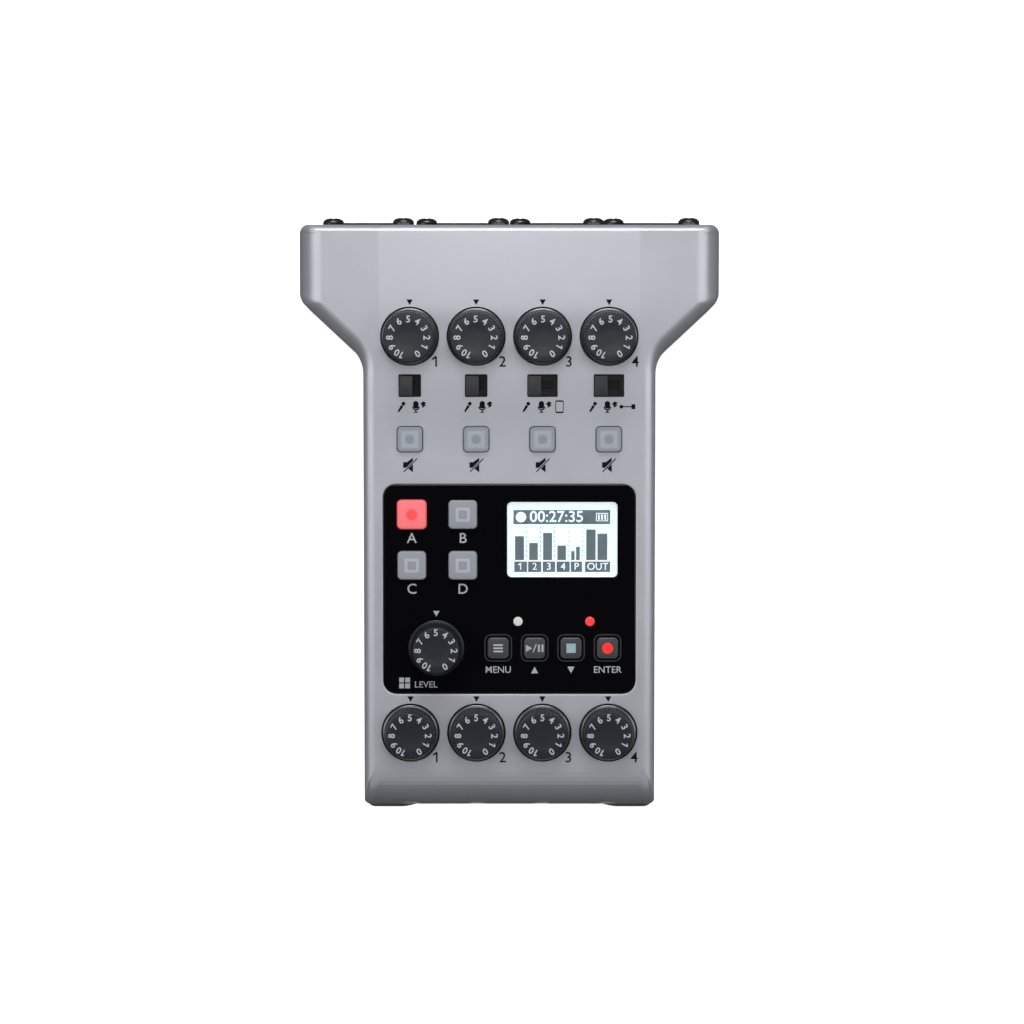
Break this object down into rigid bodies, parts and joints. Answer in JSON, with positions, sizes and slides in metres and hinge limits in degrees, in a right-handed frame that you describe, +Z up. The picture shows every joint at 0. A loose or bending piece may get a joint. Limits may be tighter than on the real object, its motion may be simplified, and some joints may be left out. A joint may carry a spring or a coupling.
{
  "type": "podcast recorder",
  "caption": "T-shaped portable recorder with rear microphone sockets, numbered gain and headphone dials, a black control plate with pads, keys and a lit display, and jacks at the front.",
  "frame": {"origin": "on the table, under the middle of the part's box", "axes": "+Z up, +Y towards the rear sockets, +X to the right of a person at the front"},
  "size_m": [0.112, 0.1608, 0.0469],
  "materials": {
    "case_paint": "satin silver-grey paint",
    "dark_plastic": "fine grain",
    "plate_black": "glossy",
    "window_clear": "clear",
    "display_lit": "lit from behind",
    "dial_grey": "matte with fine ribs",
    "shaft_metal": "turned",
    "slider_black": "matte",
    "key_translucent": "frosted",
    "pad_lit": "frosted and lit from below",
    "pad_grey": "frosted",
    "key_dark": "matte",
    "socket_black": "satin",
    "screw_black": "black oxide",
    "contact_gold": "plated",
    "bright_steel": "pressed sheet",
    "board_green": "lacquered",
    "lens_clear": "diffuse",
    "cell_wrap": "printed wrap",
    "foot_rubber": "matte"
  },
  "bodies": {
    "housing": {"top_case": "case_paint", "bottom_case": "dark_plastic", "control_plate": "plate_black", "display_window": "window_clear", "display_module": "display_lit", "main_board": "board_green", "xlr_inserts": "socket_black", "xlr_contacts": "contact_gold", "xlr_screws": "screw_black", "small_jacks": "socket_black", "usb_sockets": "bright_steel", "card_socket": "bright_steel", "potentiometers": "bright_steel", "board_switches": "slider_black", "indicator_lenses": "lens_clear", "battery_cells": "cell_wrap", "battery_contacts": "bright_steel", "rubber_feet": "foot_rubber", "case_screws": "screw_black", "xlr_socket_1": "socket_black", "xlr_socket_2": "socket_black", "xlr_socket_3": "socket_black", "xlr_socket_4": "socket_black"},
    "gain_dial_1": {"gain_knob_1": "dial_grey", "gain_shaft_1": "shaft_metal"},
    "gain_dial_2": {"gain_knob_2": "dial_grey", "gain_shaft_2": "shaft_metal"},
    "gain_dial_3": {"gain_knob_3": "dial_grey", "gain_shaft_3": "shaft_metal"},
    "gain_dial_4": {"gain_knob_4": "dial_grey", "gain_shaft_4": "shaft_metal"},
    "phones_dial_1": {"phones_knob_1": "dial_grey", "phones_shaft_1": "shaft_metal"},
    "phones_dial_2": {"phones_knob_2": "dial_grey", "phones_shaft_2": "shaft_metal"},
    "phones_dial_3": {"phones_knob_3": "dial_grey", "phones_shaft_3": "shaft_metal"},
    "phones_dial_4": {"phones_knob_4": "dial_grey", "phones_shaft_4": "shaft_metal"},
    "pad_dial": {"pad_knob": "dial_grey", "pad_shaft": "shaft_metal"},
    "input_slider_1": {"input_slider_1": "slider_black"},
    "input_slider_2": {"input_slider_2": "slider_black"},
    "input_slider_3": {"input_slider_3": "slider_black"},
    "input_slider_4": {"input_slider_4": "slider_black"},
    "mute_key_1": {"mute_key_1": "key_translucent"},
    "mute_key_2": {"mute_key_2": "key_translucent"},
    "mute_key_3": {"mute_key_3": "key_translucent"},
    "mute_key_4": {"mute_key_4": "key_translucent"},
    "sound_pad_1": {"sound_pad_1": "pad_lit"},
    "sound_pad_2": {"sound_pad_2": "pad_grey"},
    "sound_pad_3": {"sound_pad_3": "pad_grey"},
    "sound_pad_4": {"sound_pad_4": "pad_grey"},
    "menu_key": {"menu_key": "key_dark"},
    "play_key": {"play_key": "key_dark"},
    "stop_key": {"stop_key": "key_dark"},
    "record_key": {"record_key": "key_dark"},
    "power_slider": {"power_slider": "slider_black"},
    "card_cover": {"card_cover": "dark_plastic"},
    "battery_door": {"battery_door": "dark_plastic"}
  },
  "joints": [
    {"name": "gain_dial_1_turn", "type": "hinge", "parent": "housing", "child": "gain_dial_1", "pos_m": [-0.02644, 0.04673, 0.03319], "axis": [0, -0.0785, 0.9969], "range_deg": [-150, 150]},
    {"name": "gain_dial_2_turn", "type": "hinge", "parent": "housing", "child": "gain_dial_2", "pos_m": [-0.00881, 0.04673, 0.03319], "axis": [0, -0.0785, 0.9969], "range_deg": [-150, 150]},
    {"name": "gain_dial_3_turn", "type": "hinge", "parent": "housing", "child": "gain_dial_3", "pos_m": [0.00881, 0.04673, 0.03319], "axis": [0, -0.0785, 0.9969], "range_deg": [-150, 150]},
    {"name": "gain_dial_4_turn", "type": "hinge", "parent": "housing", "child": "gain_dial_4", "pos_m": [0.02644, 0.04673, 0.03319], "axis": [0, -0.0785, 0.9969], "range_deg": [-150, 150]},
    {"name": "phones_dial_1_turn", "type": "hinge", "parent": "housing", "child": "phones_dial_1", "pos_m": [-0.02644, -0.05895, 0.02487], "axis": [0, -0.0785, 0.9969], "range_deg": [-150, 150]},
    {"name": "phones_dial_2_turn", "type": "hinge", "parent": "housing", "child": "phones_dial_2", "pos_m": [-0.00881, -0.05895, 0.02487], "axis": [0, -0.0785, 0.9969], "range_deg": [-150, 150]},
    {"name": "phones_dial_3_turn", "type": "hinge", "parent": "housing", "child": "phones_dial_3", "pos_m": [0.00881, -0.05895, 0.02487], "axis": [0, -0.0785, 0.9969], "range_deg": [-150, 150]},
    {"name": "phones_dial_4_turn", "type": "hinge", "parent": "housing", "child": "phones_dial_4", "pos_m": [0.02644, -0.05895, 0.02487], "axis": [0, -0.0785, 0.9969], "range_deg": [-150, 150]},
    {"name": "pad_dial_turn", "type": "hinge", "parent": "housing", "child": "pad_dial", "pos_m": [-0.0195, -0.03617, 0.02666], "axis": [0, -0.0785, 0.9969], "range_deg": [-150, 150]},
    {"name": "input_slider_1_slide", "type": "slide", "parent": "housing", "child": "input_slider_1", "axis": [1, 0, 0], "range_m": [0, 0.002]},
    {"name": "input_slider_2_slide", "type": "slide", "parent": "housing", "child": "input_slider_2", "axis": [1, 0, 0], "range_m": [0, 0.002]},
    {"name": "input_slider_3_slide", "type": "slide", "parent": "housing", "child": "input_slider_3", "axis": [1, 0, 0], "range_m": [0, 0.0041]},
    {"name": "input_slider_4_slide", "type": "slide", "parent": "housing", "child": "input_slider_4", "axis": [1, 0, 0], "range_m": [0, 0.0041]},
    {"name": "mute_key_1_press", "type": "slide", "parent": "housing", "child": "mute_key_1", "axis": [0, 0.0785, -0.9969], "range_m": [0, 0.0006], "stiffness_N_per_m": 1500},
    {"name": "mute_key_2_press", "type": "slide", "parent": "housing", "child": "mute_key_2", "axis": [0, 0.0785, -0.9969], "range_m": [0, 0.0006], "stiffness_N_per_m": 1500},
    {"name": "mute_key_3_press", "type": "slide", "parent": "housing", "child": "mute_key_3", "axis": [0, 0.0785, -0.9969], "range_m": [0, 0.0006], "stiffness_N_per_m": 1500},
    {"name": "mute_key_4_press", "type": "slide", "parent": "housing", "child": "mute_key_4", "axis": [0, 0.0785, -0.9969], "range_m": [0, 0.0006], "stiffness_N_per_m": 1500},
    {"name": "sound_pad_1_press", "type": "slide", "parent": "housing", "child": "sound_pad_1", "axis": [0, 0.0785, -0.9969], "range_m": [0, 0.0006], "stiffness_N_per_m": 1500},
    {"name": "sound_pad_2_press", "type": "slide", "parent": "housing", "child": "sound_pad_2", "axis": [0, 0.0785, -0.9969], "range_m": [0, 0.0006], "stiffness_N_per_m": 1500},
    {"name": "sound_pad_3_press", "type": "slide", "parent": "housing", "child": "sound_pad_3", "axis": [0, 0.0785, -0.9969], "range_m": [0, 0.0006], "stiffness_N_per_m": 1500},
    {"name": "sound_pad_4_press", "type": "slide", "parent": "housing", "child": "sound_pad_4", "axis": [0, 0.0785, -0.9969], "range_m": [0, 0.0006], "stiffness_N_per_m": 1500},
    {"name": "menu_key_press", "type": "slide", "parent": "housing", "child": "menu_key", "axis": [0, 0.0785, -0.9969], "range_m": [0, 0.0006], "stiffness_N_per_m": 1500},
    {"name": "play_key_press", "type": "slide", "parent": "housing", "child": "play_key", "axis": [0, 0.0785, -0.9969], "range_m": [0, 0.0006], "stiffness_N_per_m": 1500},
    {"name": "stop_key_press", "type": "slide", "parent": "housing", "child": "stop_key", "axis": [0, 0.0785, -0.9969], "range_m": [0, 0.0006], "stiffness_N_per_m": 1500},
    {"name": "record_key_press", "type": "slide", "parent": "housing", "child": "record_key", "axis": [0, 0.0785, -0.9969], "range_m": [0, 0.0006], "stiffness_N_per_m": 1500},
    {"name": "power_slider_slide", "type": "slide", "parent": "housing", "child": "power_slider", "axis": [0, 0.9969, 0.0785], "range_m": [0, 0.003]},
    {"name": "card_cover_swing", "type": "hinge", "parent": "housing", "child": "card_cover", "pos_m": [-0.03825, -0.01834, 0.01242], "axis": [0, -0.9969, -0.0785], "range_deg": [0, 95]},
    {"name": "battery_door_slide", "type": "slide", "parent": "housing", "child": "battery_door", "axis": [0, -1, 0], "range_m": [0, 0.005]}
  ]
}
